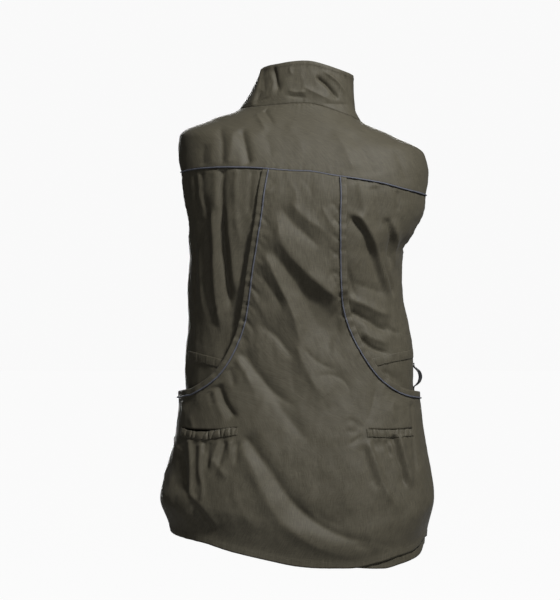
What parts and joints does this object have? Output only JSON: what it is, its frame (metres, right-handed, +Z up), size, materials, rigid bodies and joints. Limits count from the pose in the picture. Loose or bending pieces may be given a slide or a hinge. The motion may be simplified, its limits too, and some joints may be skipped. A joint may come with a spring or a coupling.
{
  "type": "training vest",
  "caption": "Sleeveless zip vest in hanging worn form, with a stand-up collar, a rear game pocket between curved piped mouths and slit hip pockets.",
  "frame": {"origin": "in the middle of the neck opening, level with the nape seam, where the vest is held when worn", "axes": "+Z up, the front faces -Y, and +X is the wearer's left"},
  "size_m": [0.4753, 0.3123, 0.8671],
  "materials": {
    "cloth": "satin poly-cotton",
    "piping": "matte twill",
    "webbing": "woven nylon",
    "zip_tape": "woven tape",
    "zip_metal": "dark zinc"
  },
  "bodies": {
    "vest": {"back_body": "cloth", "back_yoke": "cloth", "collar": "cloth", "front_left": "cloth", "front_right": "cloth", "game_pocket": "cloth", "hip_casing_L": "cloth", "hip_casing_R": "cloth", "pocket_band_L": "cloth", "pocket_band_R": "cloth", "pocket_piping_L": "piping", "pocket_piping_R": "piping", "waist_casing_L": "cloth", "waist_casing_R": "cloth", "webbing_loop": "webbing", "yoke_piping": "piping", "zip_slider": "zip_metal", "zip_tape_L": "zip_tape", "zip_tape_R": "zip_tape"},
    "pull": {"zip_pull": "zip_metal"}
  },
  "joints": [
    {"name": "pull_hinge", "type": "hinge", "parent": "vest", "child": "pull", "pos_m": [-0.00708, -0.14037, -0.20045], "axis": [-1, 0, 0], "range_deg": [0, 165]}
  ]
}
